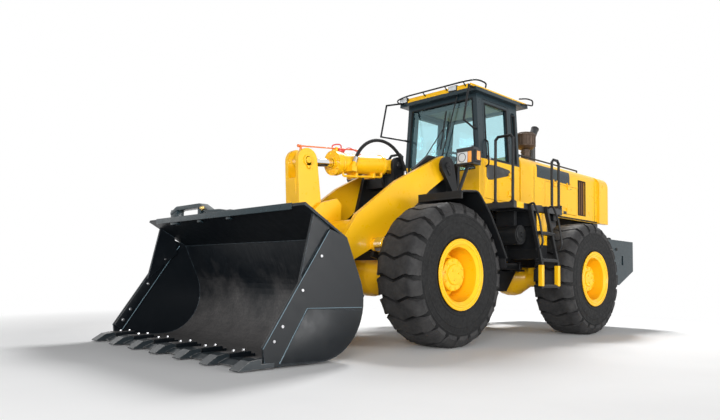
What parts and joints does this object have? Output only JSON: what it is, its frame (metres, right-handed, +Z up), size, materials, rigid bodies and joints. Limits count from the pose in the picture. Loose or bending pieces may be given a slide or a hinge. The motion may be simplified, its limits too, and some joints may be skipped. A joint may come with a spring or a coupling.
{
  "type": "articulated wheel loader",
  "caption": "Articulated wheel loader with a toothed bucket on a Z-bar boom, a glazed cab over the pivot, a hood with side doors and a rear counterweight.",
  "frame": {"origin": "on the ground under the middle of the machine's overall length and width", "axes": "+X forwards towards the bucket, +Y to the driver's left, +Z up"},
  "size_m": [8.1, 2.94, 3.4098],
  "materials": {
    "yellow_paint": "satin enamel, lightly dusty",
    "black_paint": "satin black enamel",
    "bucket_paint": "dark enamel, worn inside",
    "slate_paint": "satin dark blue-grey enamel",
    "worn_steel": "scuffed steel",
    "chrome_rod": "polished",
    "cast_grey": "painted casting",
    "tyre_rubber": "matt rubber",
    "hose_rubber": "matt rubber",
    "tinted_glass": "clear, faint cyan tint",
    "cabin_plastic": "fine grain",
    "seat_cloth": "woven cloth",
    "lamp_plastic": "moulded housing",
    "exhaust_steel": "heat-browned"
  },
  "bodies": {
    "rear_chassis": {"rear_frame": "black_paint", "rear_axle": "yellow_paint", "counterweight": "slate_paint", "engine_block": "cast_grey", "transmission": "cast_grey", "radiator": "cast_grey", "tanks": "black_paint", "platforms": "black_paint", "ladders": "black_paint", "handrails": "black_paint", "hood_shell": "yellow_paint", "exhaust_stack": "exhaust_steel", "air_precleaner": "black_paint", "cab_body": "slate_paint", "cab_roof": "yellow_paint", "cab_glass": "tinted_glass", "seat": "seat_cloth", "steering_console": "cabin_plastic", "left_steer_barrel": "black_paint", "right_steer_barrel": "black_paint"},
    "left_cab_door": {"left_door": "slate_paint", "left_door_glass": "tinted_glass"},
    "right_cab_door": {"right_door": "slate_paint", "right_door_glass": "tinted_glass"},
    "left_engine_door": {"left_hood_door": "yellow_paint"},
    "right_engine_door": {"right_hood_door": "yellow_paint"},
    "grille_door": {"rear_grille": "yellow_paint"},
    "front_chassis": {"front_frame": "black_paint", "front_axle": "yellow_paint", "front_fenders": "black_paint", "headlamps": "lamp_plastic"},
    "boom_arms": {"boom": "yellow_paint", "bellcrank_pin": "worn_steel"},
    "bucket": {"bucket_shell": "bucket_paint", "cutting_edge": "worn_steel", "bucket_pins": "worn_steel", "link_pin": "worn_steel"},
    "crank": {"bellcrank": "yellow_paint"},
    "link": {"tilt_link": "yellow_paint"},
    "tilt_cylinder": {"tilt_barrel": "yellow_paint", "tilt_hose": "hose_rubber"},
    "tilt_piston": {"tilt_rod": "chrome_rod"},
    "lift_cylinders": {"lift_barrels": "yellow_paint"},
    "lift_pistons": {"lift_rods": "chrome_rod"},
    "left_steer_piston": {"left_steer_rod": "chrome_rod"},
    "right_steer_piston": {"right_steer_rod": "chrome_rod"},
    "front_left_wheel": {"front_left_tyre": "tyre_rubber", "front_left_rim": "yellow_paint"},
    "front_right_wheel": {"front_right_tyre": "tyre_rubber", "front_right_rim": "yellow_paint"},
    "rear_left_wheel": {"rear_left_tyre": "tyre_rubber", "rear_left_rim": "yellow_paint"},
    "rear_right_wheel": {"rear_right_tyre": "tyre_rubber", "rear_right_rim": "yellow_paint"}
  },
  "joints": [
    {"name": "articulation", "type": "hinge", "parent": "rear_chassis", "child": "front_chassis", "pos_m": [-0.365, 0, 0.94], "axis": [0, 0, 1], "range_deg": [-35, 35]},
    {"name": "boom_lift", "type": "hinge", "parent": "front_chassis", "child": "boom_arms", "pos_m": [0.52, 0, 2.19], "axis": [0, -1, 0], "range_deg": [0, 84]},
    {"name": "bucket_tilt", "type": "hinge", "parent": "boom_arms", "child": "bucket", "pos_m": [2.603, 0, 0.397], "axis": [0, 1, 0], "range_deg": [-38, 129]},
    {"name": "crank_turn", "type": "hinge", "parent": "boom_arms", "child": "crank", "pos_m": [2.268, 0, 1.289], "axis": [0, -1, 0], "range_deg": [-6.92, 23.48]},
    {"name": "link_turn", "type": "hinge", "parent": "bucket", "child": "link", "pos_m": [2.691, 0, 0.749], "axis": [0, -1, 0], "range_deg": [-19, 64.5]},
    {"name": "tilt_swing", "type": "hinge", "parent": "front_chassis", "child": "tilt_cylinder", "pos_m": [0.875, 0, 2.215], "axis": [0, -1, 0], "range_deg": [0, 97.6]},
    {"name": "tilt_stroke", "type": "slide", "parent": "tilt_cylinder", "child": "tilt_piston", "axis": [0.9947, 0, -0.1031], "range_m": [-0.13509, 0.03979]},
    {"name": "lift_swing", "type": "hinge", "parent": "front_chassis", "child": "lift_cylinders", "pos_m": [0.4, 0, 1.41], "axis": [0, -1, 0], "range_deg": [0, 67.07]},
    {"name": "lift_stroke", "type": "slide", "parent": "lift_cylinders", "child": "lift_pistons", "axis": [0.9782, 0, -0.2075], "range_m": [0, 0.92182]},
    {"name": "left_steer_stroke", "type": "slide", "parent": "rear_chassis", "child": "left_steer_piston", "axis": [0.9953, -0.0966, 0], "range_m": [-0.25852, 0.25852]},
    {"name": "right_steer_stroke", "type": "slide", "parent": "rear_chassis", "child": "right_steer_piston", "axis": [0.9953, 0.0966, 0], "range_m": [-0.25852, 0.25852]},
    {"name": "front_left_roll", "type": "hinge", "parent": "front_chassis", "child": "front_left_wheel", "pos_m": [1.21, 1.118, 0.805], "axis": [0, 1, 0], "continuous": true},
    {"name": "front_right_roll", "type": "hinge", "parent": "front_chassis", "child": "front_right_wheel", "pos_m": [1.21, -1.118, 0.805], "axis": [0, 1, 0], "continuous": true},
    {"name": "rear_left_roll", "type": "hinge", "parent": "rear_chassis", "child": "rear_left_wheel", "pos_m": [-1.94, 1.118, 0.805], "axis": [0, 1, 0], "continuous": true},
    {"name": "rear_right_roll", "type": "hinge", "parent": "rear_chassis", "child": "rear_right_wheel", "pos_m": [-1.94, -1.118, 0.805], "axis": [0, 1, 0], "continuous": true},
    {"name": "left_door_swing", "type": "hinge", "parent": "rear_chassis", "child": "left_cab_door", "pos_m": [-0.87, 0.689, 2.4], "axis": [0, 0, 1], "range_deg": [0, 95]},
    {"name": "right_door_swing", "type": "hinge", "parent": "rear_chassis", "child": "right_cab_door", "pos_m": [-0.87, -0.689, 2.4], "axis": [0, 0, -1], "range_deg": [0, 95]},
    {"name": "left_engine_door_lift", "type": "hinge", "parent": "rear_chassis", "child": "left_engine_door", "pos_m": [-2.29, 0.694, 2.29], "axis": [1, 0, 0], "range_deg": [0, 75]},
    {"name": "right_engine_door_lift", "type": "hinge", "parent": "rear_chassis", "child": "right_engine_door", "pos_m": [-2.29, -0.694, 2.29], "axis": [-1, 0, 0], "range_deg": [0, 75]},
    {"name": "grille_swing", "type": "hinge", "parent": "rear_chassis", "child": "grille_door", "pos_m": [-3.87, -0.612, 2.1], "axis": [0, 0, 1], "range_deg": [0, 90]}
  ],
  "couplings": [
    {"joint": "crank_turn", "follows": "bucket_tilt", "ratio": 0.182},
    {"joint": "link_turn", "follows": "bucket_tilt", "ratio": 0.5},
    {"joint": "tilt_swing", "follows": "boom_lift", "ratio": 1.1619},
    {"joint": "tilt_stroke", "follows": "bucket_tilt", "m_per_rad": -0.06},
    {"joint": "lift_swing", "follows": "boom_lift", "ratio": 0.79848},
    {"joint": "lift_stroke", "follows": "boom_lift", "m_per_rad": 0.62877},
    {"joint": "left_steer_stroke", "follows": "articulation", "m_per_rad": -0.4232},
    {"joint": "right_steer_stroke", "follows": "articulation", "m_per_rad": 0.4232}
  ]
}
